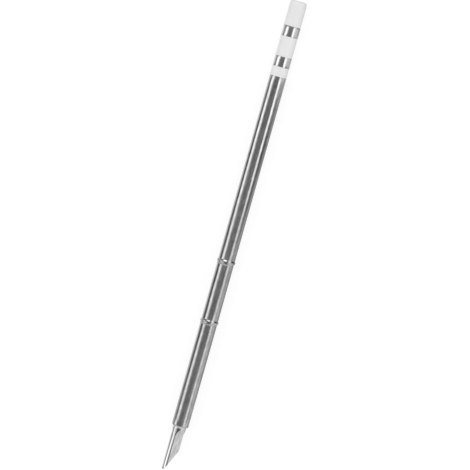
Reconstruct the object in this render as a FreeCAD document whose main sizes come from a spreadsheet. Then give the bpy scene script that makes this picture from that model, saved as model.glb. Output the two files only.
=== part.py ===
import FreeCAD, Part
import Sketcher
import os
from math import cos, pi, sin

# A soldering iron tip of the cartridge kind: a plated copper bit with a knife-shaped end, a heater
# sealed in its hollow stem, a long thin steel tube in three sections joined at raised beads, and an
# insulated plug end with two contact rings. It lies on a bench on its two beads.
# Frame: millimetres, +Z up, the long axis along Y with the bit towards -Y, the thin edge of the
# blade towards +X. The origin is at the middle of the base, under the axis.
# Inside every piece's own frame the long axis is Y itself and Y counts from the point of the bit.

doc = FreeCAD.newDocument("SolderingTip")
sizes = doc.addObject("Spreadsheet::Sheet", "Sizes")
stations = doc.addObject("Spreadsheet::Sheet", "Stations")

SIZES = (
    # The bit: blade, flare, shank, raised band and neck, then the stem inside the sheath.
    ("blade_length", 12.1), ("blade_diameter", 3.88), ("blade_offset", 0.09),
    ("flare_length", 1.8), ("shank_diameter", 4.33), ("shank_length", 0.15),
    ("band_diameter", 4.44), ("band_length", 0.4), ("neck_diameter", 4.1), ("neck_show", 0.25),
    ("stem_setback", 1.3), ("stem_length", 20.0), ("stem_chamfer", 0.3),
    # The two ground flats, the wheel that runs them out, and the slanted end.
    ("flat_angle", 35.1), ("edge_thickness", 0.4), ("flat_length", 10.95), ("wheel_radius", 4.7),
    ("slant_angle", 24.2), ("point_radius", 0.47), ("heel_radius", 2.8),
    # The steel tube.
    ("tube_diameter", 5.4), ("tube_wall", 0.2), ("lip_length", 0.22), ("lip_gap", 0.1),
    ("lip_chamfer", 0.3), ("front_sheath_length", 34.9), ("middle_sheath_length", 19.7),
    ("rear_tube_length", 61.0), ("bead_height", 0.3), ("bead_round", 0.5), ("bead_flank_angle", 30),
    ("mouth_length", 0.9), ("mouth_wall", 0.1), ("neck_shoulder", 0.15),
    # The plug end.
    ("collar_length", 3.1), ("ring_length", 3.5), ("spacer_length", 6.5), ("cap_length", 8.1),
    ("cap_round", 0.9), ("cap_bore_depth", 5.0), ("core_diameter", 4.0), ("spigot_length", 8.0),
    ("tab_width", 0.6), ("tab_length", 1.5),
    # The heater and its leads.
    ("socket_diameter", 3.2), ("socket_depth", 18.5), ("heater_wall", 0.28),
    ("former_diameter", 1.4), ("former_setback", 0.6), ("coil_wire", 0.3),
    ("heating_length", 7.6), ("heating_pitch", 0.55), ("return_pitch", 1.25), ("coil_gap", 0.2),
    ("plug_length", 2.5), ("lead_diameter", 0.5), ("lead_offset", 1.0),
    ("lead_inset", 1.5), ("bend_start", 3.0), ("bend_length", 10.0), ("sleeving_wall", 0.2),
    ("sleeving_clear", 1.5), ("lead_end_clear", 0.3),
    # Clearance between pieces that fit in or over each other.
    ("fit_gap", 0.01),
)

# Places along the axis, and sizes that follow from those above.
STATIONS = (
    ("flare_end", "Sizes.blade_length + Sizes.flare_length"),
    ("band_start", "flare_end + Sizes.shank_length"),
    ("band_end", "band_start + Sizes.band_length"),
    ("sheath_front", "band_end + Sizes.neck_show"),
    ("stem_start", "sheath_front + Sizes.stem_setback"),
    ("stem_end", "stem_start + Sizes.stem_length"),
    ("socket_bottom", "stem_end - Sizes.socket_depth"),
    ("first_bead", "sheath_front + Sizes.front_sheath_length"),
    ("second_bead", "first_bead + Sizes.middle_sheath_length"),
    ("tube_end", "second_bead + Sizes.rear_tube_length"),
    ("front_ring", "tube_end + Sizes.collar_length"),
    ("spacer", "front_ring + Sizes.ring_length"),
    ("rear_ring", "spacer + Sizes.spacer_length"),
    ("cap", "rear_ring + Sizes.ring_length"),
    ("total_length", "cap + Sizes.cap_length"),
    ("spigot_front", "tube_end - Sizes.spigot_length"),
    ("core_end", "cap + Sizes.cap_bore_depth"),
    ("tube_radius", "Sizes.tube_diameter / 2"),
    ("tube_bore_radius", "tube_radius - Sizes.tube_wall"),
    ("mouth_bore_radius", "tube_radius - Sizes.mouth_wall"),
    ("lift", "tube_radius + Sizes.bead_height"),
    ("spine_x", "-Sizes.blade_diameter / 2 - Sizes.blade_offset"),
    ("edge_x", "Sizes.blade_diameter / 2 - Sizes.blade_offset"),
    ("flat_depth", "edge_x * sin(Sizes.flat_angle) + Sizes.edge_thickness / 2 * cos(Sizes.flat_angle)"),
    ("former_start", "socket_bottom + Sizes.former_setback"),
    ("heating_start", "former_start + Sizes.coil_wire"),
    ("heating_end", "heating_start + Sizes.heating_length"),
    ("return_start", "heating_end + Sizes.coil_gap"),
    ("return_lead_start", "stem_end - Sizes.lead_inset"),
    ("return_end", "return_lead_start - Sizes.coil_gap"),
    ("plug_end", "stem_end + Sizes.plug_length"),
    ("bend", "plug_end + Sizes.bend_start"),
    ("sleeving_start", "bend + Sizes.bend_length + Sizes.sleeving_clear"),
    ("sleeving_end", "spigot_front - Sizes.sleeving_clear"),
    ("live_lead_end", "spacer - Sizes.lead_end_clear"),
    ("return_lead_end", "cap - Sizes.lead_end_clear"),
)

# How far the outlines of cuts reach past the metal that they remove.
CUT_MARGIN = 2.0
# How far the slanted cut's two round corners stand off the blank, so that each crosses its surface.
CORNER_RELIEF = 0.02
# Straight runs in one turn of a heater coil, and sides of its wire.
COIL_RUNS = 6
COIL_SIDES = 4


def fill_sheet(sheet, rows, prefix=""):
    """Write one named value a row."""
    for row, (name, value) in enumerate(rows, start=1):
        cell = "A%d" % row
        sheet.set(cell, prefix + str(value))
        sheet.setAlias(cell, name)
    doc.recompute()


fill_sheet(sizes, SIZES)
fill_sheet(stations, STATIONS, "=")


def value(expression):
    """The number that an expression on the two sheets gives."""
    return float(stations.evalExpression(expression))


def place(piece):
    """Put a piece in the part's frame: its axis above the floor, the part's middle at the origin."""
    piece.setExpression("Placement.Base.y", "-Stations.total_length / 2")
    piece.setExpression("Placement.Base.z", "Stations.lift")


def new_body(name):
    body = doc.addObject("PartDesign::Body", name)
    body.Label = name
    place(body)
    return body


def new_sketch(body, name, plane_role, height=None):
    """A sketch on one of the body's own origin planes, raised from it by height."""
    sketch = body.newObject("Sketcher::SketchObject", body.Name + "_" + name)
    plane = next(p for p in body.Origin.OriginFeatures if p.Role == plane_role)
    sketch.AttachmentSupport = [(plane, "")]
    sketch.MapMode = "FlatFace"
    if height is not None:
        sketch.setExpression("AttachmentOffset.Base.z", height)
    return sketch


def cross_sketch(body, name, along):
    """A sketch across the axis, at the place along it. Its normal points towards the bit."""
    return new_sketch(body, name, "XZ_Plane", "-(%s)" % along)


def bind(sketch, constraint, expression):
    """Add a constraint whose value is an expression."""
    index = sketch.addConstraint(constraint)
    sketch.setExpression("Constraints[%d]" % index, expression)


def pin_point(sketch, geometry, point, x, y):
    bind(sketch, Sketcher.Constraint("DistanceX", -1, 1, geometry, point, value(x)), x)
    bind(sketch, Sketcher.Constraint("DistanceY", -1, 1, geometry, point, value(y)), y)


def add_run(sketch, start, end, radius=None, side=0):
    """Add a straight run, or an arc that bulges left (1) or right (-1) of it. An arc is stored
    anticlockwise, so a left one has its ends swapped. Returns its number and its two end marks."""
    if radius is None:
        return sketch.addGeometry(Part.LineSegment(start, end)), 1, 2
    chord = end - start
    half = chord.Length / 2
    rise = radius - (radius ** 2 - half ** 2) ** 0.5
    across = FreeCAD.Vector(-chord.y, chord.x, 0).normalize()
    middle = (start + end) / 2 + across * rise * side
    if side > 0:
        return sketch.addGeometry(Part.Arc(end, middle, start)), 2, 1
    return sketch.addGeometry(Part.Arc(start, middle, end)), 1, 2


def draw(sketch, corners, closed=True):
    """Draw runs from corner to corner. A corner is (x, y), or (x, y, radius, side) where the run
    that leaves it is an arc. Every number is an expression and stays bound to the sheets."""
    points = [FreeCAD.Vector(value(c[0]), value(c[1]), 0) for c in corners]
    count = len(corners) if closed else len(corners) - 1
    runs = []
    for index in range(count):
        corner = corners[index]
        end = points[(index + 1) % len(points)]
        arc = (value(corner[2]), corner[3]) if len(corner) > 2 else ()
        runs.append(add_run(sketch, points[index], end, *arc))
    for index, (number, first, last) in enumerate(runs):
        corner = corners[index]
        pin_point(sketch, number, first, corner[0], corner[1])
        if len(corner) > 2:
            radius = Sketcher.Constraint("Radius", number, value(corner[2]))
            bind(sketch, radius, corner[2])
        if closed or index < count - 1:
            following, its_first, _ = runs[(index + 1) % len(runs)]
            sketch.addConstraint(Sketcher.Constraint("Coincident", number, last, following, its_first))
        else:
            pin_point(sketch, number, last, corners[-1][0], corners[-1][1])


def draw_circle(sketch, diameter, x="0", y="0"):
    centre = FreeCAD.Vector(value(x), value(y), 0)
    circle = Part.Circle(centre, FreeCAD.Vector(0, 0, 1), value(diameter) / 2)
    number = sketch.addGeometry(circle)
    pin_point(sketch, number, 3, x, y)
    bind(sketch, Sketcher.Constraint("Diameter", number, value(diameter)), diameter)


def turn(body, corners):
    """Turn a solid from its half outline, whose corners are (radius, place along the axis)."""
    sketch = new_sketch(body, "half_outline", "XY_Plane")
    draw(sketch, corners)
    doc.recompute()
    turned = body.newObject("PartDesign::Revolution", body.Name + "_turned")
    turned.Profile = sketch
    turned.ReferenceAxis = (sketch, ["V_Axis"])
    doc.recompute()


def pad_along(body, sketch, length, name="padded"):
    """Extend a cross sketch from the bit's side towards the plug end."""
    doc.recompute()
    pad = body.newObject("PartDesign::Pad", body.Name + "_" + name)
    pad.Profile = sketch
    pad.setExpression("Length", length)
    pad.Reversed = True
    doc.recompute()


def cut(body, sketch, name, symmetric=False, reverse=False):
    """Cut a sketch right through the body, and make sure that it removed metal."""
    doc.recompute()
    before = body.Shape.Volume
    pocket = body.newObject("PartDesign::Pocket", body.Name + "_" + name)
    pocket.Profile = sketch
    pocket.Type = "ThroughAll"
    pocket.Midplane = symmetric
    pocket.Reversed = reverse
    doc.recompute()
    if not body.Shape.Volume < before:
        raise RuntimeError(body.Label + ": " + name + " cuts nothing")
    return pocket


def sleeve(name, start, length, outer, inner, height="0"):
    """A straight tube, or a rod where inner is None, parallel to the axis at a height above it."""
    body = new_body(name)
    sketch = cross_sketch(body, "section", start)
    draw_circle(sketch, outer, "0", height)
    if inner is not None:
        draw_circle(sketch, inner, "0", height)
    pad_along(body, sketch, length)
    return body


# The bit is one piece of copper, turned, then ground to a knife and cut on a slant.
def soldering_bit():
    body = new_body("soldering_bit")
    shank = "Sizes.shank_diameter / 2"
    band = "Sizes.band_diameter / 2"
    neck = "Sizes.neck_diameter / 2"
    stem = "Stations.tube_bore_radius - Sizes.fit_gap"
    socket = "Sizes.socket_diameter / 2"
    turn(body, [
        ("0", "Stations.flare_end"),
        (shank, "Stations.flare_end"),
        (shank, "Stations.band_start"),
        (band, "Stations.band_start"),
        (band, "Stations.band_end"),
        (neck, "Stations.band_end"),
        (neck, "Stations.stem_start"),
        (stem + " - Sizes.stem_chamfer", "Stations.stem_start"),
        (stem, "Stations.stem_start + Sizes.stem_chamfer"),
        (stem, "Stations.stem_end"),
        (socket, "Stations.stem_end"),
        (socket, "Stations.socket_bottom"),
        ("0", "Stations.socket_bottom"),
    ])

    wide = cross_sketch(body, "flare_wide", "Stations.flare_end")
    draw_circle(wide, "Sizes.shank_diameter")
    narrow = cross_sketch(body, "flare_narrow", "Sizes.blade_length")
    draw_circle(narrow, "Sizes.blade_diameter", "-Sizes.blade_offset")
    doc.recompute()
    flare = body.newObject("PartDesign::AdditiveLoft", "soldering_bit_flare")
    flare.Profile = wide
    flare.Sections = [narrow]
    flare.Ruled = True
    doc.recompute()

    blank = cross_sketch(body, "blank", "0")
    draw_circle(blank, "Sizes.blade_diameter", "-Sizes.blade_offset")
    pad_along(body, blank, "Sizes.blade_length", "blank_bar")

    # Each flat is ground along the bar by a wheel, which runs out on the shank in an arc.
    wheel = new_sketch(body, "wheel_path", "YZ_Plane")
    wheel.AttachmentOffset = FreeCAD.Placement(
        FreeCAD.Vector(), FreeCAD.Rotation(FreeCAD.Vector(1, 0, 0), value("Sizes.flat_angle")))
    wheel.setExpression("AttachmentOffset.Rotation.Angle", "Sizes.flat_angle")
    run_out = "(%s - Stations.flat_depth + Sizes.edge_thickness)" % shank
    run_out_end = "Sizes.flat_length + sqrt(%s * (2 * Sizes.wheel_radius - %s))" % (run_out, run_out)
    top = "%s + %g" % (shank, CUT_MARGIN)
    draw(wheel, [
        ("-%g" % CUT_MARGIN, "Stations.flat_depth"),
        ("Sizes.flat_length", "Stations.flat_depth", "Sizes.wheel_radius", -1),
        (run_out_end, "Stations.flat_depth + " + run_out),
        (run_out_end, top),
        ("-%g" % CUT_MARGIN, top),
    ])
    flat = cut(body, wheel, "upper_flat", symmetric=True)
    mirror = body.newObject("PartDesign::Mirrored", "soldering_bit_lower_flat")
    mirror.Originals = [flat]
    plane = next(p for p in body.Origin.OriginFeatures if p.Role == "XY_Plane")
    mirror.MirrorPlane = (plane, [""])
    body.Tip = mirror
    doc.recompute()

    # The slanted end, seen from above: a small nose, the slant, and a rounded heel.
    nose_x = "(Stations.spine_x - %g + Sizes.point_radius)" % CORNER_RELIEF
    heel_x = "(Stations.edge_x + %g - Sizes.heel_radius)" % CORNER_RELIEF
    slant_x = "(%s + Sizes.point_radius * cos(Sizes.slant_angle))" % nose_x
    slant_y = "Sizes.point_radius * (1 - sin(Sizes.slant_angle))"
    heel_y = ("(%s + ((%s - %s) * cos(Sizes.slant_angle) + Sizes.heel_radius)"
              " / sin(Sizes.slant_angle))" % (slant_y, heel_x, slant_x))
    left = "%s - Sizes.point_radius - %g" % (nose_x, CUT_MARGIN)
    right = "%s + Sizes.heel_radius + %g" % (heel_x, CUT_MARGIN)
    end = new_sketch(body, "slanted_end", "XY_Plane")
    draw(end, [
        (left, "Sizes.point_radius"),
        ("%s - Sizes.point_radius" % nose_x, "Sizes.point_radius", "Sizes.point_radius", -1),
        (slant_x, slant_y),
        ("%s + Sizes.heel_radius * cos(Sizes.slant_angle)" % heel_x,
         "%s - Sizes.heel_radius * sin(Sizes.slant_angle)" % heel_y, "Sizes.heel_radius", -1),
        ("%s + Sizes.heel_radius" % heel_x, heel_y),
        (right, heel_y),
        (right, "-%g" % CUT_MARGIN),
        (left, "-%g" % CUT_MARGIN),
    ])
    cut(body, end, "slant", symmetric=True)
    return body


def necked_end(bead):
    """The corners of a tube's rear end, drawn in to enter the mouth of the section behind it."""
    shoulder = bead + " - Sizes.mouth_length - Sizes.neck_shoulder"
    foot = bead + " - Sizes.mouth_length"
    outside = "Stations.mouth_bore_radius - Sizes.fit_gap"
    inside = outside + " - Sizes.tube_wall"
    return [
        ("Stations.tube_radius", shoulder),
        (outside, foot),
        (outside, bead),
        (inside, bead),
        (inside, foot),
        ("Stations.tube_bore_radius", shoulder),
    ]


# The front sheath is a thin drawn tube, turned inwards at its front round the bit's neck.
def front_sheath():
    body = new_body("front_sheath")
    lip = "(Sizes.neck_diameter / 2 + Sizes.lip_gap)"
    turn(body, [
        (lip, "Stations.sheath_front"),
        ("Stations.tube_radius - Sizes.lip_chamfer", "Stations.sheath_front"),
        ("Stations.tube_radius", "Stations.sheath_front + Sizes.lip_chamfer"),
        *necked_end("Stations.first_bead"),
        ("Stations.tube_bore_radius", "Stations.sheath_front + Sizes.lip_length"),
        (lip, "Stations.sheath_front + Sizes.lip_length"),
    ])
    return body


# A tube section whose thinned mouth takes the section before it, flush outside, up to the rolled
# bead: two straight flanks and a round crest. Its rear end is given by its corners.
def beaded_tube(name, bead, rear_end):
    body = new_body(name)
    mouth = bead + " - Sizes.mouth_length"
    crest_foot = "(Stations.lift - Sizes.bead_round * (1 - cos(Sizes.bead_flank_angle)))"
    crest_half = "Sizes.bead_round * sin(Sizes.bead_flank_angle)"
    half_width = ("(%s + (%s - Stations.tube_radius) / tan(Sizes.bead_flank_angle))"
                  % (crest_half, crest_foot))
    turn(body, [
        ("Stations.mouth_bore_radius", mouth),
        ("Stations.tube_radius", mouth),
        ("Stations.tube_radius", "%s - %s" % (bead, half_width)),
        (crest_foot, "%s - %s" % (bead, crest_half), "Sizes.bead_round", -1),
        (crest_foot, "%s + %s" % (bead, crest_half)),
        ("Stations.tube_radius", "%s + %s" % (bead, half_width)),
        *rear_end,
        ("Stations.tube_bore_radius", bead),
        ("Stations.mouth_bore_radius", bead),
    ])
    return body


# The white core: a spigot in the tube, the collar behind it, and the stem under the rings, with
# a hole for each lead and a slot where each lead's tab comes out.
def connector_core():
    body = new_body("connector_core")
    spigot = "Stations.tube_bore_radius - Sizes.fit_gap"
    core = "Sizes.core_diameter / 2"
    turn(body, [
        ("0", "Stations.spigot_front"),
        (spigot, "Stations.spigot_front"),
        (spigot, "Stations.tube_end"),
        ("Stations.tube_radius", "Stations.tube_end"),
        ("Stations.tube_radius", "Stations.front_ring"),
        (core, "Stations.front_ring"),
        (core, "Stations.core_end"),
        ("0", "Stations.core_end"),
    ])
    holes = cross_sketch(body, "lead_holes", "Stations.spigot_front")
    for height in ("Sizes.lead_offset", "-Sizes.lead_offset"):
        draw_circle(holes, "Sizes.lead_diameter + 2 * Sizes.fit_gap", "0", height)
    cut(body, holes, "lead_holes")
    for name, ring, side in (("live_slot", "front_ring", ""), ("return_slot", "rear_ring", "-")):
        slot = new_sketch(body, name, "XY_Plane", side + "Sizes.lead_offset")
        half_width = "(Sizes.tab_width / 2 + Sizes.fit_gap)"
        middle = "Stations.%s + Sizes.ring_length / 2" % ring
        half_length = "(Sizes.tab_length / 2 + Sizes.fit_gap)"
        draw(slot, [
            ("-" + half_width, "%s - %s" % (middle, half_length)),
            (half_width, "%s - %s" % (middle, half_length)),
            (half_width, "%s + %s" % (middle, half_length)),
            ("-" + half_width, "%s + %s" % (middle, half_length)),
        ])
        cut(body, slot, name, reverse=side == "")
    return body


# A ring on the core: a steel contact or a white spacer.
def core_ring(name, start, end):
    body = new_body(name)
    bore = "Sizes.core_diameter / 2 + Sizes.fit_gap"
    turn(body, [
        (bore, start),
        ("Stations.tube_radius", start),
        ("Stations.tube_radius", end),
        (bore, end),
    ])
    return body


# The white cap over the core's end, with a blind bore and a rounded rim.
def end_cap():
    body = new_body("end_cap")
    bore = "Sizes.core_diameter / 2 + Sizes.fit_gap"
    turn(body, [
        (bore, "Stations.cap"),
        ("Stations.tube_radius", "Stations.cap"),
        ("Stations.tube_radius", "Stations.total_length - Sizes.cap_round", "Sizes.cap_round", -1),
        ("Stations.tube_radius - Sizes.cap_round", "Stations.total_length"),
        ("0", "Stations.total_length"),
        ("0", "Stations.core_end"),
        (bore, "Stations.core_end"),
    ])
    return body


# A weld tab stands on its lead and reaches the bore of its ring through a slot in the core.
def contact_tab(name, ring, side):
    tab = doc.addObject("Part::Box", name)
    tab.Label = name
    bore = "(Sizes.core_diameter / 2 + Sizes.fit_gap)"
    foot = "(Sizes.lead_offset + Sizes.lead_diameter / 2)"
    head = "sqrt(%s ^ 2 - (Sizes.tab_width / 2) ^ 2)" % bore
    low = foot if side > 0 else "(-%s)" % head
    tab.setExpression("Length", "Sizes.tab_width")
    tab.setExpression("Width", "Sizes.tab_length")
    tab.setExpression("Height", "%s - %s" % (head, foot))
    tab.setExpression("Placement.Base.x", "-Sizes.tab_width / 2")
    tab.setExpression("Placement.Base.y", "Stations.%s + Sizes.ring_length / 2"
                      " - Sizes.tab_length / 2 - Stations.total_length / 2" % ring)
    tab.setExpression("Placement.Base.z", "Stations.lift + " + low)
    return tab


# A heater coil: wire wound round the ceramic former in a helix. It is sealed in ceramic, so its wire
# is square and goes round in short straight runs, whose middles clear the former.
def heater_coil(name, start, end, pitch):
    wire = value("Sizes.coil_wire") / 2
    inner_radius = value("Sizes.former_diameter / 2 + Sizes.fit_gap")
    radius = inner_radius / cos(pi / COIL_RUNS) + wire
    turns = (value(end) - value(start) - 2 * wire) / value(pitch)
    steps = max(1, int(turns * COIL_RUNS))
    rings = []
    for step in range(steps + 1):
        angle = 2 * pi * step / COIL_RUNS
        along = value(start) + wire + value(pitch) * step / COIL_RUNS
        corners = []
        for side in range(COIL_SIDES):
            turned = 2 * pi * side / COIL_SIDES
            out = radius + wire * cos(turned)
            corners.append(FreeCAD.Vector(out * cos(angle), along + wire * sin(turned), -out * sin(angle)))
        rings.append(Part.makePolygon(corners + corners[:1]))
    coil = doc.addObject("Part::Feature", name)
    coil.Label = name
    coil.Shape = Part.makeLoft(rings, True, True)
    coil.Placement = FreeCAD.Placement(
        FreeCAD.Vector(0, -value("Stations.total_length") / 2, value("Stations.lift")),
        FreeCAD.Rotation())
    return coil


# The ceramic plug at the heater's rear end, with a hole for each of the two wires.
def sealing_plug():
    body = new_body("sealing_plug")
    section = cross_sketch(body, "section", "Stations.stem_end")
    draw_circle(section, "2 * (Stations.tube_bore_radius - Sizes.fit_gap)")
    for height in ("0", "-Sizes.lead_offset"):
        draw_circle(section, "Sizes.lead_diameter + 2 * Sizes.fit_gap", "0", height)
    pad_along(body, section, "Sizes.plug_length")
    return body


# The live lead starts at the core wire, on the axis, and bends up to its hole in the core.
def live_lead():
    body = new_body("live_lead")
    section = cross_sketch(body, "section", "Stations.plug_end")
    draw_circle(section, "Sizes.lead_diameter")
    bend = "(Sizes.bend_length ^ 2 + Sizes.lead_offset ^ 2) / (4 * Sizes.lead_offset)"
    route = new_sketch(body, "route", "YZ_Plane")
    draw(route, [
        ("Stations.plug_end", "0"),
        ("Stations.bend", "0", bend, -1),
        ("Stations.bend + Sizes.bend_length / 2", "Sizes.lead_offset / 2", bend, 1),
        ("Stations.bend + Sizes.bend_length", "Sizes.lead_offset"),
        ("Stations.live_lead_end", "Sizes.lead_offset"),
    ], closed=False)
    doc.recompute()
    lead = body.newObject("PartDesign::AdditivePipe", "live_lead_swept")
    lead.Profile = section
    lead.Spine = (route, ["Edge%d" % number for number in range(1, 5)])
    doc.recompute()
    return body


lead_hole = "Sizes.lead_diameter + 2 * Sizes.fit_gap"
sleeving = lead_hole + " + 2 * Sizes.sleeving_wall"
sleeving_length = "Stations.sleeving_end - Stations.sleeving_start"
heater_sleeve = "Sizes.socket_diameter - 2 * Sizes.fit_gap"
pieces = [
    soldering_bit(),
    front_sheath(),
    beaded_tube("middle_sheath", "Stations.first_bead", necked_end("Stations.second_bead")),
    beaded_tube("rear_tube", "Stations.second_bead", [
        ("Stations.tube_radius", "Stations.tube_end"),
        ("Stations.tube_bore_radius", "Stations.tube_end"),
    ]),
    connector_core(),
    core_ring("contact_ring_front", "Stations.front_ring", "Stations.spacer"),
    core_ring("insulator_spacer", "Stations.spacer", "Stations.rear_ring"),
    core_ring("contact_ring_rear", "Stations.rear_ring", "Stations.cap"),
    end_cap(),
    contact_tab("contact_tab_front", "front_ring", 1),
    contact_tab("contact_tab_rear", "rear_ring", -1),
    sleeve("heater_insulator", "Stations.socket_bottom", "Sizes.socket_depth",
           heater_sleeve, heater_sleeve + " - 2 * Sizes.heater_wall"),
    sleeve("core_tube", "Stations.former_start", "Stations.stem_end - Stations.former_start",
           "Sizes.former_diameter", lead_hole),
    heater_coil("heating_coil", "Stations.heating_start", "Stations.heating_end",
                "Sizes.heating_pitch"),
    heater_coil("return_coil", "Stations.return_start", "Stations.return_end",
                "Sizes.return_pitch"),
    sleeve("core_wire", "Stations.socket_bottom + Sizes.fit_gap",
           "Stations.plug_end - Stations.socket_bottom - Sizes.fit_gap", "Sizes.lead_diameter", None),
    sealing_plug(),
    live_lead(),
    sleeve("return_lead", "Stations.return_lead_start",
           "Stations.return_lead_end - Stations.return_lead_start", "Sizes.lead_diameter", None,
           "-Sizes.lead_offset"),
    sleeve("live_sleeving", "Stations.sleeving_start", sleeving_length, sleeving, lead_hole,
           "Sizes.lead_offset"),
    sleeve("return_sleeving", "Stations.sleeving_start", sleeving_length, sleeving, lead_hole,
           "-Sizes.lead_offset"),
]
doc.recompute()

for item in doc.Objects:
    if "Invalid" in item.State or "Error" in item.State:
        raise RuntimeError("%s failed: %s" % (item.Label, item.State))
for piece in pieces:
    if piece.Shape.isNull() or not piece.Shape.isValid():
        raise RuntimeError(piece.Label + " has no valid shape")

os.makedirs("parts", exist_ok=True)
for piece in pieces:
    piece.Shape.exportStep("parts/%s.step" % piece.Label)
    print("%-20s %3d faces %9.3f mm3" % (piece.Label, len(piece.Shape.Faces), piece.Shape.Volume))
print("total length", value("Stations.total_length"))
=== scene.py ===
from math import ceil, cos, pi, radians, sin, tan

import bmesh
import bpy
import numpy as np
from mathutils import Matrix, Vector


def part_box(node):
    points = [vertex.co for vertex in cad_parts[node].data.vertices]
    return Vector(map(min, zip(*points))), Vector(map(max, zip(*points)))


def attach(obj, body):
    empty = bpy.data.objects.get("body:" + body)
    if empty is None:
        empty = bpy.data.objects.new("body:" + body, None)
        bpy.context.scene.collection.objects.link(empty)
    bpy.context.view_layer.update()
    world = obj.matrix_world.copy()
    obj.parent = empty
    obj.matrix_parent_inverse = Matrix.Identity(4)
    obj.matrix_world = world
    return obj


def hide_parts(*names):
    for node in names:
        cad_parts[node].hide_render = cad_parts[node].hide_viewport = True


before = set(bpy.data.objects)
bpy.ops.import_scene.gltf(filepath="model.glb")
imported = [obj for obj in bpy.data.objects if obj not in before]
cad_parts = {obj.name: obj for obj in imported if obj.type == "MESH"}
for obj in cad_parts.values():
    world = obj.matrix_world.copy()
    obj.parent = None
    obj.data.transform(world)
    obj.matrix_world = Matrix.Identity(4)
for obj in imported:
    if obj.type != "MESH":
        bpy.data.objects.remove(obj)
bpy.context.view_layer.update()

# The bit is one piece of copper: a round bar with its shank, raised band, neck and hollow stem,
# all turned, then ground on two sides to a knife and cut off on a slant. Its plating is bright on
# the round back, and the flats keep the fine slanted marks of the wheel.
MM = 0.001
POINT_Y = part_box("soldering_bit")[0].y
AXIS_Z = (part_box("end_cap")[0].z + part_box("end_cap")[1].z) / 2
BLADE_RADIUS = 1.94
BLADE_OFFSET = 0.09
BLADE_LENGTH = 12.1
FLARE_END = 13.9
SHANK_RADIUS = 2.165
BAND_START, BAND_END, BAND_RADIUS = 14.16, 14.42, 2.22
BAND_SLOPE, MARK_STEP, MARK_BEHIND = 0.06, 0.01, 0.1
NECK_RADIUS = 2.05
STEM_START, STEM_END, STEM_RADIUS, STEM_CHAMFER = 16.0, 36.0, 2.49, 0.3
SOCKET_BOTTOM, SOCKET_RADIUS = 17.5, 1.6
FLAT_ANGLE = radians(35.1)
EDGE_HALF_THICKNESS = 0.2
FLAT_LENGTH = 10.95
WHEEL_RADIUS = 4.7
SLANT_ANGLE = radians(24.2)
NOSE_RADIUS = 0.47
HEEL_RADIUS = 2.8
CORNER_RELIEF = 0.02
WORN_LENGTH, WORN_FADE, POINT_WEAR = 0.9, 0.5, 0.9
EDGE_SHARPNESS = 55
WHEEL_MARK_TURN = radians(-32)
SHARP_ANGLE = radians(50)


def rounded_outline(corners, closed=True, steps=8):
    """An outline of straight runs with rounded corners. A corner is (place along, distance out,
    radius). An arc starts radius / tan(half the inside angle) before its corner, and its points
    are the centre plus the radius turned evenly from the first end to the last."""
    points = []
    for index, (along, out, radius) in enumerate(corners):
        here = np.array((along, out), float)
        is_end = not closed and index in (0, len(corners) - 1)
        if radius == 0 or is_end:
            points.append(here[None])
            continue
        back = np.array(corners[index - 1][:2]) - here
        onward = np.array(corners[(index + 1) % len(corners)][:2]) - here
        back /= np.linalg.norm(back)
        onward /= np.linalg.norm(onward)
        half = np.arccos(np.clip(back @ onward, -1, 1)) / 2
        middle = (back + onward) / np.linalg.norm(back + onward)
        centre = here + middle * radius / sin(half)
        first = here + back * radius / tan(half) - centre
        last = here + onward * radius / tan(half) - centre
        sweep = pi - 2 * half
        share = np.linspace(0, 1, steps + 1)[:, None]
        arc = first * np.sin((1 - share) * sweep) + last * np.sin(share * sweep)
        points.append(centre + arc / sin(sweep))
    if closed:
        points.append(points[0][:1])
    return np.concatenate(points)


def split_runs(outline, longest):
    """The outline with points added evenly along each run, so that none is longer than longest."""
    runs = [np.linspace(a, b, max(1, ceil(np.linalg.norm(b - a) / longest)), endpoint=False)
            for a, b in zip(outline[:-1], outline[1:])]
    return np.concatenate(runs + [outline[-1:]])


def add_piece(name, grid, node, material, marks=None):
    """Make a closed mesh of a grid of points, rows along the part and columns around it, given in
    millimetres from the bit's point and from the axis. Each cell is one quad, the last column
    joins the first, and points that fall together are merged. The marks are values that the
    material reads at each point."""
    rows, columns = grid.shape[:2]
    index = np.arange(rows * columns).reshape(rows, columns)
    beside = np.roll(index, -1, axis=1)
    quads = np.stack([index[:-1], index[1:], beside[1:], beside[:-1]], axis=-1).reshape(-1, 4)
    mesh = bpy.data.meshes.new(name)
    mesh.from_pydata(grid.reshape(-1, 3) * MM + (0, POINT_Y, AXIS_Z), [], quads)
    for mark, values in (marks or {}).items():
        mesh.attributes.new(mark, "FLOAT", "POINT").data.foreach_set("value", values.ravel())
    shell = bmesh.new()
    shell.from_mesh(mesh)
    bmesh.ops.remove_doubles(shell, verts=shell.verts, dist=MM * 1e-4)
    bmesh.ops.recalc_face_normals(shell, faces=shell.faces)
    shell.to_mesh(mesh)
    shell.free()
    mesh.shade_smooth()
    mesh.set_sharp_from_angle(angle=SHARP_ANGLE)
    mesh.materials.append(material)
    piece = bpy.data.objects.new(name, mesh)
    bpy.context.scene.collection.objects.link(piece)
    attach(piece, "root")
    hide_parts(node)


def new_material(name, color, metallic, roughness):
    """A material whose plain values sit on its shader. Returns it, its nodes and its shader."""
    material = bpy.data.materials.new(name)
    material.use_nodes = True
    shader = material.node_tree.nodes["Principled BSDF"]
    shader.inputs["Base Color"].default_value = (*color, 1)
    shader.inputs["Metallic"].default_value = metallic
    shader.inputs["Roughness"].default_value = roughness
    return material, material.node_tree, shader


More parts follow.
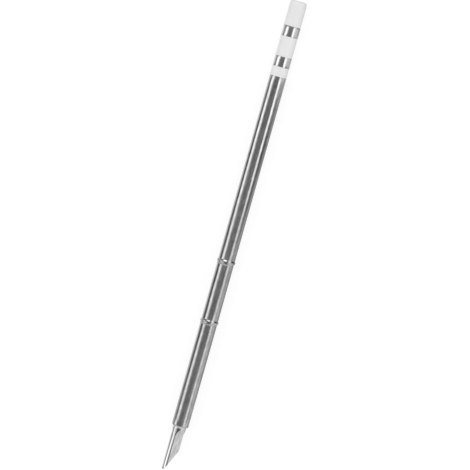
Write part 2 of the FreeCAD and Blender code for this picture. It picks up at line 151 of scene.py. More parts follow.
def grain(tree, stretch, turn=(0, 0, 0), detail=3.0):
    """A noise in the object's own place, so many grains to the metre along each axis. Returns its
    value, between 0 and 1."""
    place = tree.nodes.new("ShaderNodeTexCoord")
    mapping = tree.nodes.new("ShaderNodeMapping")
    mapping.inputs["Rotation"].default_value = turn
    mapping.inputs["Scale"].default_value = stretch
    noise = tree.nodes.new("ShaderNodeTexNoise")
    noise.inputs["Scale"].default_value = 1
    noise.inputs["Detail"].default_value = detail
    tree.links.new(place.outputs["Object"], mapping.inputs["Vector"])
    tree.links.new(mapping.outputs["Vector"], noise.inputs["Vector"])
    return noise.outputs["Fac"]


def spread(tree, value, low, high, start=0.3, end=0.7):
    """Spread a value that runs from start to end over the range from low to high."""
    fit = tree.nodes.new("ShaderNodeMapRange")
    fit.inputs["From Min"].default_value = start
    fit.inputs["From Max"].default_value = end
    fit.inputs["To Min"].default_value = low
    fit.inputs["To Max"].default_value = high
    tree.links.new(value, fit.inputs["Value"])
    return fit.outputs["Result"]


def tint(tree, value, dark, light):
    """A colour between dark and light, by a value between 0.3 and 0.7."""
    mix = tree.nodes.new("ShaderNodeMix")
    mix.data_type = "RGBA"
    mix.inputs["A"].default_value = (*dark, 1)
    mix.inputs["B"].default_value = (*light, 1)
    tree.links.new(spread(tree, value, 0, 1), mix.inputs["Factor"])
    return mix.outputs["Result"]


def relief(tree, height, depth):
    """The bump of a height between 0 and 1 that stands for a depth in metres."""
    bump = tree.nodes.new("ShaderNodeBump")
    bump.inputs["Strength"].default_value = 1
    bump.inputs["Distance"].default_value = depth
    tree.links.new(height, bump.inputs["Height"])
    return bump.outputs["Normal"]


def plated_bit_material():
    """Bright plating on the round parts. Where the mark named ground is 1, the wheel's marks make
    the surface rougher and finely ribbed on a slant, with darker and lighter strokes. The point is
    worn nearly as rough, and the band, where it is 2, is rougher still and dull."""
    material, tree, shader = new_material("plated_bit", (0.84, 0.84, 0.84), 1, 0.12)
    ground = tree.nodes.new("ShaderNodeAttribute")
    ground.attribute_name = "ground"
    wear = grain(tree, (900, 500, 900))
    polished = tint(tree, wear, (0.82, 0.82, 0.82), (0.88, 0.88, 0.88))
    strokes = grain(tree, (2200, 500, 500), turn=(0, 0, WHEEL_MARK_TURN), detail=5)
    wheeled = tint(tree, strokes, (0.60, 0.60, 0.60), (1.0, 1.0, 1.0))
    finish = tree.nodes.new("ShaderNodeMix")
    finish.data_type = "RGBA"
    tree.links.new(ground.outputs["Fac"], finish.inputs["Factor"])
    tree.links.new(polished, finish.inputs["A"])
    tree.links.new(wheeled, finish.inputs["B"])
    tree.links.new(finish.outputs["Result"], shader.inputs["Base Color"])
    rough = tree.nodes.new("ShaderNodeMath")
    rough.operation = "MULTIPLY_ADD"
    tree.links.new(ground.outputs["Fac"], rough.inputs[0])
    rough.inputs[1].default_value = 0.2
    tree.links.new(spread(tree, wear, 0.07, 0.12), rough.inputs[2])
    tree.links.new(rough.outputs["Value"], shader.inputs["Roughness"])
    tree.links.new(spread(tree, ground.outputs["Fac"], 1, 0.25, 1, 2), shader.inputs["Metallic"])
    ribs = grain(tree, (7000, 700, 700), turn=(0, 0, WHEEL_MARK_TURN))
    ribbed = tree.nodes.new("ShaderNodeMath")
    ribbed.operation = "MULTIPLY"
    tree.links.new(ribs, ribbed.inputs[0])
    tree.links.new(ground.outputs["Fac"], ribbed.inputs[1])
    tree.links.new(relief(tree, ribbed.outputs["Value"], 0.00003), shader.inputs["Normal"])
    return material


def slant_limit(along):
    """Returns the round nose's side towards -X, and how far towards +X the slanted cut leaves the
    blade. Seen from above, the cut is a small round nose, then a straight slant, x = start +
    along * tan(slant), then a round heel."""
    spine = -BLADE_OFFSET - BLADE_RADIUS
    edge = BLADE_RADIUS - BLADE_OFFSET
    nose_x = spine - CORNER_RELIEF + NOSE_RADIUS
    heel_x = edge + CORNER_RELIEF - HEEL_RADIUS
    slant_x = nose_x + NOSE_RADIUS * cos(SLANT_ANGLE)
    slant_y = NOSE_RADIUS * (1 - sin(SLANT_ANGLE))
    heel_y = slant_y + ((heel_x - slant_x) * cos(SLANT_ANGLE) + HEEL_RADIUS) / sin(SLANT_ANGLE)
    nose_half = np.sqrt(np.clip(NOSE_RADIUS ** 2 - (NOSE_RADIUS - along) ** 2, 0, None))
    heel_half = np.sqrt(np.clip(HEEL_RADIUS ** 2 - (heel_y - along) ** 2, 0, None))
    limit = slant_x + (along - slant_y) * tan(SLANT_ANGLE)
    limit = np.where(along < slant_y, nose_x + nose_half, limit)
    limit = np.where(along > heel_y - HEEL_RADIUS * sin(SLANT_ANGLE), heel_x + heel_half, limit)
    nose_side = np.where(along < NOSE_RADIUS, nose_x - nose_half, -np.inf)
    return nose_side, np.where(along > heel_y, np.inf, limit)


def bit_surface(along, out, columns):
    """The bit's skin. Each station is a circle, out from the bar's centre. From the middle of the
    metal that the cuts leave there, a ray goes out at each angle, and its length is a soft
    minimum, (sum of length ** -n) ** (-1 / n), of the ways to the circle, the two flats and the
    slanted cut. The mark is 1 where a cut is nearest, POINT_WEAR at the worn point and 2 on the
    band."""
    along, out = along[:, None], out[:, None]
    angle = np.linspace(0, 2 * pi, columns, endpoint=False) - pi / 2
    cut_here = along < BAND_START
    bar_x = -BLADE_OFFSET * np.clip((FLARE_END - along) / (FLARE_END - BLADE_LENGTH), 0, 1)
    edge = BLADE_RADIUS - BLADE_OFFSET
    depth = edge * sin(FLAT_ANGLE) + EDGE_HALF_THICKNESS * cos(FLAT_ANGLE)
    past = np.clip(along - FLAT_LENGTH, 0, WHEEL_RADIUS)
    depth = depth + WHEEL_RADIUS - np.sqrt(WHEEL_RADIUS ** 2 - past ** 2)
    nose_side, slant_side = slant_limit(along)
    low = np.where(cut_here, np.maximum(bar_x - out, nose_side), bar_x - out)
    high = np.where(cut_here, np.minimum(bar_x + out, slant_side), bar_x + out)
    middle = (low + high) / 2
    half_width = np.maximum((high - low) / 2, 1e-6)
    chord = np.sqrt(np.clip(out ** 2 - (middle - bar_x) ** 2, 1e-12, None))
    flat_height = (depth - middle * sin(FLAT_ANGLE)) / cos(FLAT_ANGLE)
    half_height = np.where(cut_here, np.minimum(chord, flat_height), chord)
    ray_x = half_width * np.cos(angle)
    ray_z = half_height * np.sin(angle)

    square = np.maximum(ray_x ** 2 + ray_z ** 2, 1e-15)
    offset = ray_x * (middle - bar_x)
    to_circle = (-offset + np.sqrt(offset ** 2 + square * chord ** 2)) / square
    near_circle = np.maximum(to_circle, 1e-6) ** -EDGE_SHARPNESS
    near_cuts = np.zeros_like(near_circle)
    towards_flat = ray_x * sin(FLAT_ANGLE) + np.abs(ray_z) * cos(FLAT_ANGLE)
    for towards, room in (
        (towards_flat, depth - middle * sin(FLAT_ANGLE)),
        (ray_x, np.minimum(slant_side, 1e3) - middle),
        (-ray_x, middle - np.maximum(nose_side, -1e3)),
    ):
        closeness = np.maximum(towards, 0) / np.maximum(room, 1e-9)
        near_cuts += closeness ** EDGE_SHARPNESS
    near_cuts = np.where(cut_here, near_cuts, 0)
    length = (near_circle + near_cuts) ** (-1 / EDGE_SHARPNESS)
    grid = np.stack([middle + length * ray_x, along + 0 * ray_x, length * ray_z], axis=-1)
    worn = POINT_WEAR * np.clip((WORN_LENGTH - along) / WORN_FADE, 0, 1)
    on_band = (along > BAND_START) & (along < BAND_END + MARK_BEHIND)
    return grid, np.maximum(near_cuts / (near_circle + near_cuts), worn) + 2 * on_band


nose_end = NOSE_RADIUS * (1 - np.cos(np.linspace(0, pi / 2, 12, endpoint=False)))
blade = rounded_outline([
    (NOSE_RADIUS, BLADE_RADIUS, 0),
    (BLADE_LENGTH, BLADE_RADIUS, 3.0),
    (FLARE_END, SHANK_RADIUS, 0.05),
    (BAND_START, SHANK_RADIUS, 0),
], closed=False)
stem = rounded_outline([
    (BAND_START, SHANK_RADIUS, 0),
    (BAND_START + MARK_STEP, SHANK_RADIUS, 0),
    (BAND_START + BAND_SLOPE, BAND_RADIUS, 0.02),
    (BAND_END, BAND_RADIUS, 0.04),
    (BAND_END, NECK_RADIUS, 0.02),
    (STEM_START, NECK_RADIUS, 0.03),
    (STEM_START, STEM_RADIUS - STEM_CHAMFER, 0.03),
    (STEM_START + STEM_CHAMFER, STEM_RADIUS, 0.05),
    (STEM_END, STEM_RADIUS, 0.05),
    (STEM_END, SOCKET_RADIUS, 0.05),
    (SOCKET_BOTTOM, SOCKET_RADIUS, 0.1),
    (SOCKET_BOTTOM, 0, 0),
], closed=False, steps=4)
stations = np.concatenate([
    np.stack([nose_end, np.full_like(nose_end, BLADE_RADIUS)], axis=-1),
    split_runs(blade, longest=0.11),
    split_runs(stem, longest=1.5)[1:],
])
grid, ground = bit_surface(stations[:, 0], stations[:, 1], columns=300)
add_piece("knife_bit", grid, "soldering_bit", plated_bit_material(),
          {"ground": ground})


# The heater sits in the bit's stem: a fired ceramic sleeve, a thin ceramic tube that carries the
# coils, and the ceramic plug that closes it. All three are plain pressed and fired pieces.
def dress(names, slot, material):
    """Give a finish to CAD nodes that are shown as they are."""
    for name in names:
        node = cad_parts[name]
        node.data.materials.clear()
        node.data.materials.append(material)


def fired_ceramic_material():
    """Matt off-white ceramic with faint clouds and a fine sandy grain."""
    material, tree, shader = new_material("heater_ceramic", (0.85, 0.84, 0.80), 0, 0.75)
    clouds = grain(tree, (400, 400, 400))
    tree.links.new(tint(tree, clouds, (0.80, 0.79, 0.74), (0.88, 0.87, 0.84)),
                   shader.inputs["Base Color"])
    sand = grain(tree, (9000, 9000, 9000))
    tree.links.new(relief(tree, sand, 0.00001), shader.inputs["Normal"])
    return material


dress(("heater_insulator", "core_tube", "sealing_plug"), "heater_ceramic",
      fired_ceramic_material())


# The heating coil is iron-chrome wire, dark from its own heat. The return coil, the core wire, the
# two leads and the weld tabs are drawn nickel, slightly yellow beside steel.
def wire_material(name, dark, light, roughness):
    """Drawn wire with fine marks along the part and patches of oxide."""
    material, tree, shader = new_material(name, light, 1, roughness)
    patches = grain(tree, (2500, 900, 2500))
    tree.links.new(tint(tree, patches, dark, light), shader.inputs["Base Color"])
    tree.links.new(spread(tree, patches, roughness - 0.08, roughness + 0.08),
                   shader.inputs["Roughness"])
    return material


dress(("heating_coil",), "resistance_wire",
      wire_material("resistance_wire", (0.30, 0.29, 0.28), (0.48, 0.46, 0.45), 0.45))
dress(("return_coil", "core_wire", "live_lead", "return_lead", "contact_tab_front",
       "contact_tab_rear"), "nickel",
      wire_material("nickel", (0.60, 0.56, 0.49), (0.70, 0.67, 0.61), 0.3))


# Each lead runs through the tube in a sleeve braided from fine glass yarn, which keeps it off the
# steel and off the other lead.
def braid_material():
    """Glass yarn in two sets of strands that cross on a slant. The weave is the product of two
    waves, each turned to its own side. It gives the strands their bump, and a colour that is
    darker where it is low: painted shade in the hollows between the strands."""
    material, tree, shader = new_material("glass_sleeving", (0.80, 0.78, 0.70), 0, 0.8)
    place = tree.nodes.new("ShaderNodeTexCoord")
    crossing = tree.nodes.new("ShaderNodeMath")
    crossing.operation = "MULTIPLY"
    for number, slant in enumerate((35, -35)):
        mapping = tree.nodes.new("ShaderNodeMapping")
        mapping.inputs["Rotation"].default_value = (radians(slant), 0, radians(slant))
        tree.links.new(place.outputs["Object"], mapping.inputs["Vector"])
        strands = tree.nodes.new("ShaderNodeTexWave")
        strands.bands_direction = "Y"
        strands.inputs["Scale"].default_value = 1600
        tree.links.new(mapping.outputs["Vector"], strands.inputs["Vector"])
        tree.links.new(strands.outputs["Fac"], crossing.inputs[number])
    weave_height_and_shade = crossing.outputs["Value"]
    # Painted shade: the colour is darker in the hollows of the weave, where its height is low.
    tree.links.new(tint(tree, weave_height_and_shade, (0.66, 0.63, 0.54), (0.84, 0.82, 0.75)),
                   shader.inputs["Base Color"])
    tree.links.new(relief(tree, weave_height_and_shade, 0.00004), shader.inputs["Normal"])
    return material


dress(("live_sleeving", "return_sleeving"), "glass_sleeving", braid_material())

# The front sheath is thin stainless tube, drawn to size and left with the fine marks of the die
# along it. Its front is rolled in round the bit's neck, and its rear end is drawn in a little to
# enter the next section.
TUBE_RADIUS, TUBE_WALL = 2.7, 0.2
SHEATH_FRONT = 14.6
LIP_BORE, LIP_ROUND = 2.15, 0.4
FIRST_BEAD, SECOND_BEAD = 49.45, 69.3
MOUTH_LENGTH, MOUTH_WALL, FIT_GAP = 0.9, 0.1, 0.01
NECK_SHOULDER = 0.15
RING_BEFORE, RING_BEHIND = 0.27, 0.23
TUBE_STEP = 2.0
TURNED_COLUMNS = 288


def turned(outline):
    """A turned surface: each outline point, (place along, distance out), goes once round the axis,
    x = out * sin(angle) and z = -out * cos(angle), starting underneath."""
    angle = np.linspace(0, 2 * pi, TURNED_COLUMNS, endpoint=False)
    along, out = outline[:, :1], outline[:, 1:]
    return np.stack([out * np.sin(angle), along + 0 * angle, -out * np.cos(angle)], axis=-1)


def dull_rings(outline):
    """1 on the ring at each joint that the rolling tool has rubbed dull, and 0 elsewhere."""
    mouths = np.array((FIRST_BEAD, SECOND_BEAD)) - MOUTH_LENGTH
    past = outline[:, :1] - mouths
    inside = (past > -RING_BEFORE + MARK_STEP / 2) & (past < RING_BEHIND - MARK_STEP / 2)
    rubbed = inside.any(axis=1)
    return np.repeat(rubbed[:, None], TURNED_COLUMNS, axis=1).astype(float)


def tube_steel_material():
    """Drawn stainless steel: long fine streaks in its gloss and colour, small cloudy patches, and
    faint lines and waves along it. It is rough where the mark named dull is 1."""
    material, tree, shader = new_material("tube_steel", (0.62, 0.62, 0.62), 1, 0.15)
    streaks = grain(tree, (2600, 60, 2600), detail=4)
    patches = grain(tree, (1500, 500, 1500), detail=4)
    both = tree.nodes.new("ShaderNodeMath")
    both.operation = "MULTIPLY_ADD"
    tree.links.new(streaks, both.inputs[0])
    both.inputs[1].default_value = 0.5
    tree.links.new(spread(tree, patches, 0.1, 0.4), both.inputs[2])
    wear = both.outputs["Value"]
    tree.links.new(tint(tree, wear, (0.46, 0.46, 0.46), (0.78, 0.78, 0.78)),
                   shader.inputs["Base Color"])
    dull = tree.nodes.new("ShaderNodeAttribute")
    dull.attribute_name = "dull"
    rough = tree.nodes.new("ShaderNodeMath")
    rough.operation = "MULTIPLY_ADD"
    tree.links.new(dull.outputs["Fac"], rough.inputs[0])
    rough.inputs[1].default_value = 0.35
    tree.links.new(spread(tree, wear, 0.11, 0.18), rough.inputs[2])
    tree.links.new(rough.outputs["Value"], shader.inputs["Roughness"])
    tree.links.new(spread(tree, dull.outputs["Fac"], 1, 0.75, 0, 1), shader.inputs["Metallic"])
    lines = grain(tree, (5200, 90, 5200), detail=4)
    tree.links.new(relief(tree, lines, 0.000008), shader.inputs["Normal"])
    return material


def necked_end(bead):
    """The corners of a section's rear end, drawn in over a short shoulder behind its dull ring,
    then back to its bore."""
    foot = bead - MOUTH_LENGTH
    outside = TUBE_RADIUS - MOUTH_WALL - FIT_GAP
    inside = outside - TUBE_WALL
    return [
        (foot - RING_BEFORE, TUBE_RADIUS, 0),
        (foot - RING_BEFORE + MARK_STEP, TUBE_RADIUS, 0),
        (foot - NECK_SHOULDER, TUBE_RADIUS, 0.06),
        (foot, outside, 0.04),
        (bead, outside, 0.03),
        (bead, inside, 0.03),
        (foot, inside, 0.04),
        (foot - NECK_SHOULDER, TUBE_RADIUS - TUBE_WALL, 0.06),
    ]


tube_steel = tube_steel_material()
front_outline = rounded_outline([
    (SHEATH_FRONT, LIP_BORE, 0.04),
    (SHEATH_FRONT, TUBE_RADIUS, LIP_ROUND),
    *necked_end(FIRST_BEAD),
    (SHEATH_FRONT + TUBE_WALL, TUBE_RADIUS - TUBE_WALL, LIP_ROUND - TUBE_WALL),
    (SHEATH_FRONT + TUBE_WALL, LIP_BORE, 0.04),
])
front_outline = split_runs(front_outline, TUBE_STEP)
add_piece("front_section", turned(front_outline), "front_sheath", tube_steel,
          {"dull": dull_rings(front_outline)})

# The middle sheath is the same stainless tube, and takes the front one in its mouth. Just behind
# the joint a bead is rolled up all round, which stiffens it.
BEAD_HEIGHT, BEAD_ROUND, BEAD_FLANK = 0.3, 0.3, radians(30)
BEAD_FOOT_ROUND = 0.22


def bead_corners(bead):
    """The mouth, its dull ring and the bead of a section. The crest's corner lies above the crest
    by what its rounding takes off, radius * (1 / cos(flank) - 1)."""
    mouth = bead - MOUTH_LENGTH
    rise = BEAD_HEIGHT + BEAD_ROUND * (1 / cos(BEAD_FLANK) - 1)
    half_width = rise / tan(BEAD_FLANK)
    return [
        (mouth, TUBE_RADIUS - MOUTH_WALL, 0.02),
        (mouth, TUBE_RADIUS, 0.06),
        (mouth + RING_BEHIND - MARK_STEP, TUBE_RADIUS, 0),
        (mouth + RING_BEHIND, TUBE_RADIUS, 0),
        (bead - half_width, TUBE_RADIUS, BEAD_FOOT_ROUND),
        (bead, TUBE_RADIUS + rise, BEAD_ROUND),
        (bead + half_width, TUBE_RADIUS, BEAD_FOOT_ROUND),
    ]


def bore_corners(bead):
    """The bore's step where the section before it ends."""
    return [
        (bead, TUBE_RADIUS - TUBE_WALL, 0.02),
        (bead, TUBE_RADIUS - MOUTH_WALL, 0.02),
    ]


middle_outline = rounded_outline(
    bead_corners(FIRST_BEAD) + necked_end(SECOND_BEAD) + bore_corners(FIRST_BEAD))
middle_outline = split_runs(middle_outline, TUBE_STEP)
add_piece("middle_section", turned(middle_outline), "middle_sheath", tube_steel,
          {"dull": dull_rings(middle_outline)})

# The rear tube, of the same steel, is the part that slides into the handle, up to its own bead.
# It is joined to the middle sheath in the same way, and its square-cut rear end seats on the
# white collar.
TUBE_END = 130.3
rear_outline = rounded_outline(
    bead_corners(SECOND_BEAD)
    + [(TUBE_END, TUBE_RADIUS, 0.04), (TUBE_END, TUBE_RADIUS - TUBE_WALL, 0.04)]
    + bore_corners(SECOND_BEAD))
rear_outline = split_runs(rear_outline, TUBE_STEP)
add_piece("rear_section", turned(rear_outline), "rear_tube", tube_steel,
          {"dull": dull_rings(rear_outline)})


# The white core is moulded of heat-proof plastic in one piece: a spigot pressed into the tube, the
# collar behind it, and the thinner stem that carries the rings, with its two lead holes and its
# tab slots.
def white_material():
    """White insulating plastic: satin, a little translucent, with faint clouds and a fine orange
    peel from the mould."""
    material, tree, shader = new_material("white_insulator", (0.80, 0.80, 0.80), 0, 0.42)
    clouds = grain(tree, (330, 200, 330))
    tree.links.new(tint(tree, clouds, (0.775, 0.775, 0.775), (0.815, 0.815, 0.815)),
                   shader.inputs["Base Color"])
    shader.inputs["Subsurface Weight"].default_value = 0.15
    shader.inputs["Subsurface Radius"].default_value = (0.0012, 0.0011, 0.001)
    tree.links.new(spread(tree, clouds, 0.36, 0.48), shader.inputs["Roughness"])
    peel = grain(tree, (1800, 1800, 1800))
    tree.links.new(relief(tree, peel, 0.00001), shader.inputs["Normal"])
    return material


white = white_material()
dress(("connector_core",), "white_insulator", white)

# The two contact rings are turned steel, polished, with their ends rounded off. They slip over the
# core's stem and are welded to their leads through its slots.
CORE_RADIUS = 2.0
RING_END_ROUND = 0.1
COLLAR_END, SPACER_START, REAR_RING_START, CAP_START = 133.4, 136.78, 143.3, 146.75


def ring_outline(start, end, edge_round):
    """The outline of a ring on the core's stem."""
    return rounded_outline([
        (start, CORE_RADIUS + FIT_GAP, 0.03),
        (start, TUBE_RADIUS, edge_round),
        (end, TUBE_RADIUS, edge_round),
        (end, CORE_RADIUS + FIT_GAP, 0.03),
    ])


def contact_material():
    """Polished contact metal with fine marks round it from turning and a few dull patches."""
    material, tree, shader = new_material("contact_metal", (0.74, 0.74, 0.74), 1, 0.12)
    rounds = grain(tree, (120, 7000, 120), detail=2)
    patches = grain(tree, (900, 900, 900))
    tree.links.new(tint(tree, patches, (0.70, 0.70, 0.70), (0.78, 0.78, 0.78)),
                   shader.inputs["Base Color"])
    tree.links.new(spread(tree, patches, 0.09, 0.15), shader.inputs["Roughness"])
    tree.links.new(relief(tree, rounds, 0.000001), shader.inputs["Normal"])
    return material


contact = contact_material()
for name, node, start, end in (
    ("front_contact", "contact_ring_front", COLLAR_END, SPACER_START),
    ("rear_contact", "contact_ring_rear", REAR_RING_START, CAP_START),
):
    outline = ring_outline(start, end, RING_END_ROUND)
    add_piece(name, turned(split_runs(outline, longest=1.0)), node, contact)

# The white sleeve between the rings keeps them apart. It is moulded of the same plastic as the
# core, and slips over its stem.
WHITE_EDGE_ROUND = 0.06
spacer_outline = ring_outline(SPACER_START, REAR_RING_START, WHITE_EDGE_ROUND)
add_piece("white_spacer", turned(split_runs(spacer_outline, longest=1.5)), "insulator_spacer",
          white)

# The cap closes the rear end. It is moulded of the same plastic, and pushed over the core's stem.
# Its rim is well rounded, so that the tip slides into the handle.
CORE_END, CAP_END = 151.9, 155.0
CAP_ROUND = 0.9
cap_outline = rounded_outline([
    (CORE_END, 0, 0),
    (CORE_END, CORE_RADIUS + FIT_GAP, 0.05),
    (CAP_START, CORE_RADIUS + FIT_GAP, 0.03),
    (CAP_START, TUBE_RADIUS, WHITE_EDGE_ROUND),
    (CAP_END, TUBE_RADIUS, CAP_ROUND),
    (CAP_END, 0, 0),
], closed=False, steps=12)
add_piece("white_cap", turned(split_runs(cap_outline, longest=1.0)), "end_cap",
          white)

# The floor is a pale sheet. It is lit by the lamps, and seen by the camera it gets a little light
# of its own, so that it is white where no shadow falls on it.
FLOOR_HALF = 3.0
FLOOR_GLOW = 0.77


def seen_directly(tree):
    """1 for a ray from the camera, off a glossy surface or through glass, and otherwise 0."""
    path = tree.nodes.new("ShaderNodeLightPath")
    total = path.outputs["Is Camera Ray"]
    for ray in ("Is Glossy Ray", "Is Transmission Ray"):
        larger = tree.nodes.new("ShaderNodeMath")
        larger.operation = "MAXIMUM"
        tree.links.new(total, larger.inputs[0])
        tree.links.new(path.outputs[ray], larger.inputs[1])
        total = larger.outputs["Value"]
    return total


corners = np.array([(-1, -1, 0), (1, -1, 0), (1, 1, 0), (-1, 1, 0)]) * FLOOR_HALF
floor_mesh = bpy.data.meshes.new("floor")
floor_mesh.from_pydata(corners, [], [(0, 1, 2, 3)])
floor = bpy.data.objects.new("floor", floor_mesh)
bpy.context.scene.collection.objects.link(floor)
floor_material, floor_tree, floor_shader = new_material("pale_floor", (0.3, 0.3, 0.3), 0, 0.9)
floor_shader.inputs["Specular IOR Level"].default_value = 0
floor_shader.inputs["Emission Color"].default_value = (1, 1, 1, 1)
glow_share = floor_tree.nodes.new("ShaderNodeMath")
glow_share.operation = "MULTIPLY"
glow_share.inputs[1].default_value = FLOOR_GLOW
floor_tree.links.new(seen_directly(floor_tree), glow_share.inputs[0])
floor_tree.links.new(glow_share.outputs["Value"], floor_shader.inputs["Emission Strength"])
floor_mesh.materials.append(floor_material)
floor.visible_glossy = False

# The light tent is a long paper tube round the part, seen only as a reflection in the metal. White
# and grey cards hang in it at angles from straight up, in degrees, positive towards +X, and differ
# a little from the bit's end to the plug end.
TENT_RADIUS = 0.3
TENT_HALF_LENGTH = 2.0
TENT_STEP = 0.01


def card(angle, centre, half_width, soft):
    """How much of a card shows at an angle: 1 up to half_width from its centre, then down to 0
    over the soft edge on the smooth curve 3 x^2 - 2 x^3."""
    off = np.abs((angle - centre + 180) % 360 - 180)
    share = np.clip((half_width + soft - off) / soft, 0, 1)
    return share * share * (3 - 2 * share)


def ramp(place, start, end):
    """0 before start, 1 after end, and the same smooth curve between them."""
    share = np.clip((place - start) / (end - start), 0, 1)
    return share * share * (3 - 2 * share)


def side_glow(angle, along):
    """What the tube, the blade and the rings reflect: a grey of 0.2, plus each card's strength
    times how much of it shows. Strengths and angles are a start plus a ramp for each change."""
    blade_rear, tube = ramp(along, -0.111, -0.107), ramp(along, -0.1035, -0.0995)
    rings, last_ring = ramp(along, 0.045, 0.053), ramp(along, 0.0585, 0.0665)
    # The white card on the left, with a soft grey one beside it.
    left = -74 - 13 * blade_rear + 25 * tube + 4.5 * ramp(along, -0.07, -0.045)
    left = left - 9.6 * ramp(along, -0.035, 0.02) + 2 * rings + 8 * last_ring
    strength = 0.95 + 0.28 * ramp(along, -0.04, 0.04) + 0.07 * rings + 0.15 * (1 - tube)
    glow = 0.2 + strength * card(angle, left, 6 + 2.5 * rings, 15)
    glow = glow + (0.25 - 0.1 * rings) * card(angle, left + 18, 2, 18)
    # The dark strip low on the left, and the pale floor below it.
    glow = glow + 0.12 * rings * card(angle, -105, 20, 15)
    valley = (0.04 - 0.12 * ramp(along, -0.12, -0.06) - 0.02 * ramp(along, 0.0, 0.03)
              + 0.16 * ramp(along, 0.04, 0.06))
    glow = glow + valley * card(angle, -96, 8, 14) + 0.6 * card(angle, -150, 18, 30)
    # The white card on the right, and the grey side below it.
    right = 48 - 5.5 * ramp(along, -0.005, 0.03) - 4.5 * ramp(along, 0.03, 0.06)
    right = right + 5 * ramp(along, -0.09, -0.078) * (1 - ramp(along, -0.067, -0.05))
    strength = 0.56 + 0.82 * ramp(along, -0.045, 0.035)
    glow = glow + strength * card(angle, right, 4 + 1.5 * (rings - last_ring), 15)
    glow = glow + 0.08 * (1 - ramp(along, -0.09, -0.06)) * card(angle, 22, 4, 20)
    fill = (0.36 - 0.36 * ramp(along, -0.05, 0) - 0.1 * ramp(along, -0.005, 0.015)
            + 0.22 * ramp(along, 0.026, 0.037) + 0.4 * ramp(along, 0.042, 0.058))
    glow = glow + fill * card(angle, 78, 18, 20) + 0.2 * card(angle, 122, 14, 18)
    glow = glow + 0.1 * (1 - ramp(along, -0.11, -0.095)) * card(angle, 70, 25, 15)
    # Small cards for the rings, the blade, the tube just behind the lip, and the tube's middle.
    glow = glow + (0.07 * last_ring - 0.06 * rings) * card(angle, -6, 16, 16)
    glow = glow + rings * (0.17 - 0.04 * last_ring) * card(angle, 62, 3, 10)
    glow = glow - 0.2 * last_ring * card(angle, 38, 6, 10)
    glow = glow + 0.3 * rings * (1 - last_ring) * card(angle, 145, 18, 15)
    glow = glow - 0.08 * (1 - tube) * card(angle, -38, 6, 10)
    behind_lip = tube * (1 - ramp(along, -0.092, -0.086))
    glow = glow + behind_lip * (0.2 * card(angle, 150, 18, 15) - 0.25 * card(angle, -140, 12, 15))
    middle = ramp(along, -0.06, -0.04) * (1 - ramp(along, 0.01, 0.03))
    return glow + 0.025 * middle * card(angle, -4, 14, 12)


def rear_glow(angle, along):
    """What the rear slopes of the beads reflect: a dark grey, a card on the right, a small one on
    the left, and a bright one on top, which makes each bead's white oval."""
    glow = 0.28 + 0.75 * card(angle, 54, 8, 24) + 0.2 * card(angle, -122, 14, 12)
    glow = glow - 0.2 * (1 - ramp(along, 0.2, 0.26)) * card(angle, 112, 38, 15)
    glow = glow - 0.12 * (1 - ramp(along, 0.28, 0.38)) * card(angle, -52, 8, 12)
    oval = ramp(along, 0.29, 0.35) * (1.5 + 0.2 * ramp(along, 0.4, 0.44))
    return glow + oval * card(angle, -22, 20, 14)


def front_glow(angle, along):
    """What the front slopes of the beads and the lip reflect: grey sides, with a paler card on the
    right and a darker one low on the left, and a dark top."""
    glow = 0.1 + 0.15 * ramp(-along, 0.5, 0.62) + 0.55 * (1 - card(angle, 0, 26, 20))
    glow = glow + 0.25 * ramp(-along, 0.4, 0.55) * card(angle, 50, 12, 15)
    return glow - 0.25 * card(angle, -112, 12, 14)


def tent_glow(angle, along):
    """The tent's brightness, at an angle round the part in degrees and a place along it in metres.
    It goes over from the side cards to those at the rear and the front, and near each end to
    white."""
    glow = side_glow(angle, along)
    glow = glow + (rear_glow(angle, along) - glow) * ramp(along, 0.08, 0.095)
    glow = glow + (1.2 - glow) * ramp(along, 0.48, 0.62)
    glow = glow + (front_glow(angle, along) - glow) * ramp(-along, 0.13, 0.17)
    return glow + (1.25 - glow) * ramp(-along, 1.0, 1.3)


columns = np.arange(-180, 180)
row_count = round(2 * TENT_HALF_LENGTH / TENT_STEP) + 1
rows = np.linspace(-TENT_HALF_LENGTH, TENT_HALF_LENGTH, row_count)[:, None]
lean = np.radians(columns)
tent_points = np.stack([TENT_RADIUS * np.sin(lean) + 0 * rows, rows + 0 * lean,
                        AXIS_Z + TENT_RADIUS * np.cos(lean) + 0 * rows], axis=-1)
index = np.arange(rows.size * columns.size).reshape(rows.size, columns.size)
beside = np.roll(index, -1, axis=1)
tent_mesh = bpy.data.meshes.new("light_tent")
tent_mesh.from_pydata(tent_points.reshape(-1, 3), [], np.stack(
    [index[:-1], beside[:-1], beside[1:], index[1:]], axis=-1).reshape(-1, 4))
glow = tent_mesh.attributes.new("glow", "FLOAT", "POINT")
glow.data.foreach_set("value", tent_glow(columns[None], rows).ravel())
tent = bpy.data.objects.new("light_tent", tent_mesh)
bpy.context.scene.collection.objects.link(tent)
tent_material = bpy.data.materials.new("tent_paper")
tent_material.use_nodes = True
tent_tree = tent_material.node_tree
tent_tree.nodes.clear()
brightness = tent_tree.nodes.new("ShaderNodeAttribute")
brightness.attribute_name = "glow"
paper = tent_tree.nodes.new("ShaderNodeEmission")
paper_out = tent_tree.nodes.new("ShaderNodeOutputMaterial")
tent_tree.links.new(brightness.outputs["Fac"], paper.inputs["Strength"])
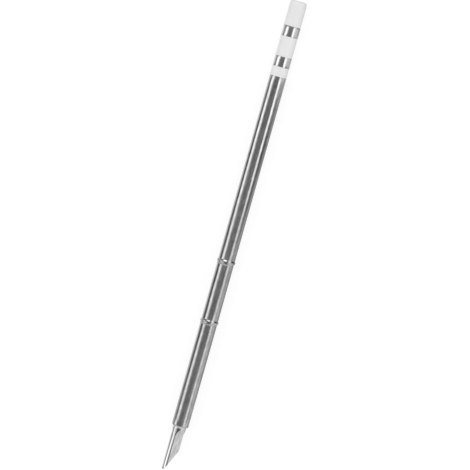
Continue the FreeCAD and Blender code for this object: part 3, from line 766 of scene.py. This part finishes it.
tent_tree.links.new(paper.outputs["Emission"], paper_out.inputs["Surface"])
tent_mesh.materials.append(tent_material)
for kind in ("camera", "diffuse", "transmission", "volume_scatter", "shadow"):
    setattr(tent, "visible_" + kind, False)

# Two wide softboxes stand on either side, the left one a little stronger, and one stands behind
# the plug end. The rest of the room is an even grey to the surfaces that it lights, and white to
# the camera.
SOFTBOX_SIZE = 0.8
ROOM_LIGHT = 0.62
for name, place, energy in (("left_softbox", (-0.8, 0.1, 0.45), 4.2),
                            ("right_softbox", (0.8, 0.1, 0.45), 3.7),
                            ("end_softbox", (0, 1.0, 0.35), 1.2)):
    softbox_data = bpy.data.lights.new(name, "AREA")
    softbox_data.shape = "SQUARE"
    softbox_data.size = SOFTBOX_SIZE
    softbox_data.energy = energy
    softbox = bpy.data.objects.new(name, softbox_data)
    softbox.location = place
    softbox.rotation_euler = Vector(softbox.location).to_track_quat("Z", "Y").to_euler()
    softbox.visible_glossy = False
    bpy.context.scene.collection.objects.link(softbox)

world = bpy.data.worlds.new("room")
bpy.context.scene.world = world
world.use_nodes = True
room_tree = world.node_tree
room = room_tree.nodes["Background"]
room.inputs["Color"].default_value = (1, 1, 1, 1)
room_strength = spread(room_tree, seen_directly(room_tree), ROOM_LIGHT, 1.0, 0, 1)
room_tree.links.new(room_strength, room.inputs["Strength"])

# The camera looks down from far away, a few degrees from the plug end, and is turned so that the
# part stands slanting in the picture.
LENS = 251
DISTANCE = 1.0416
LEAN = radians(3.41)
TURN = radians(15.703)
AIM = Vector((0.00043, 0.00067, AXIS_Z))
camera_data = bpy.data.cameras.new("camera")
camera_data.lens = LENS
camera_data.clip_end = 20
camera = bpy.data.objects.new("camera", camera_data)
turned_view = Matrix.Rotation(-LEAN, 4, "X") @ Matrix.Rotation(TURN, 4, "Z")
camera.matrix_world = (Matrix.Translation(AIM) @ turned_view
                       @ Matrix.Translation(Vector((0, 0, DISTANCE))))
bpy.context.scene.collection.objects.link(camera)
bpy.context.scene.camera = camera
bpy.context.scene.view_settings.view_transform = "Standard"
